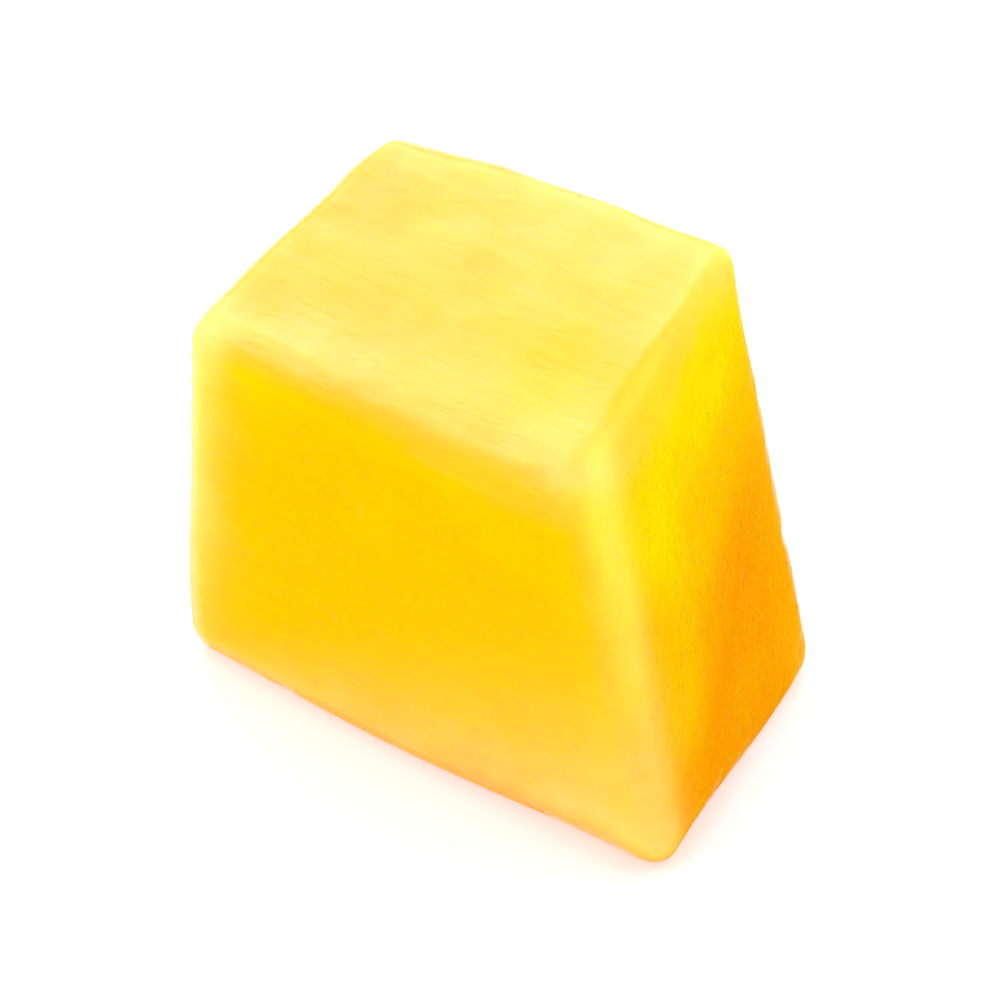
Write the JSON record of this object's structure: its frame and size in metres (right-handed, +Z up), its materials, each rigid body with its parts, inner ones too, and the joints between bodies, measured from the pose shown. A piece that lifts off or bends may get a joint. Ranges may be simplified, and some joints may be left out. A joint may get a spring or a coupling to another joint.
{
  "type": "mango chunk",
  "caption": "Bite-sized block of ripe mango flesh, cut with a knife, with soft rounded edges and one leaning cut. It lies on its widest cut.",
  "frame": {"origin": "under the middle of the chunk's outline, on the surface that it lies on", "axes": "+X along the chunk's longest cut, towards the leaning cut; +Y from the front cut to the convex side that lay under the peel; +Z up"},
  "size_m": [0.034, 0.0218, 0.0261],
  "materials": {
    "mango_flesh": "satin"
  },
  "bodies": {
    "root": {"mango_chunk": "mango_flesh"}
  },
  "joints": []
}
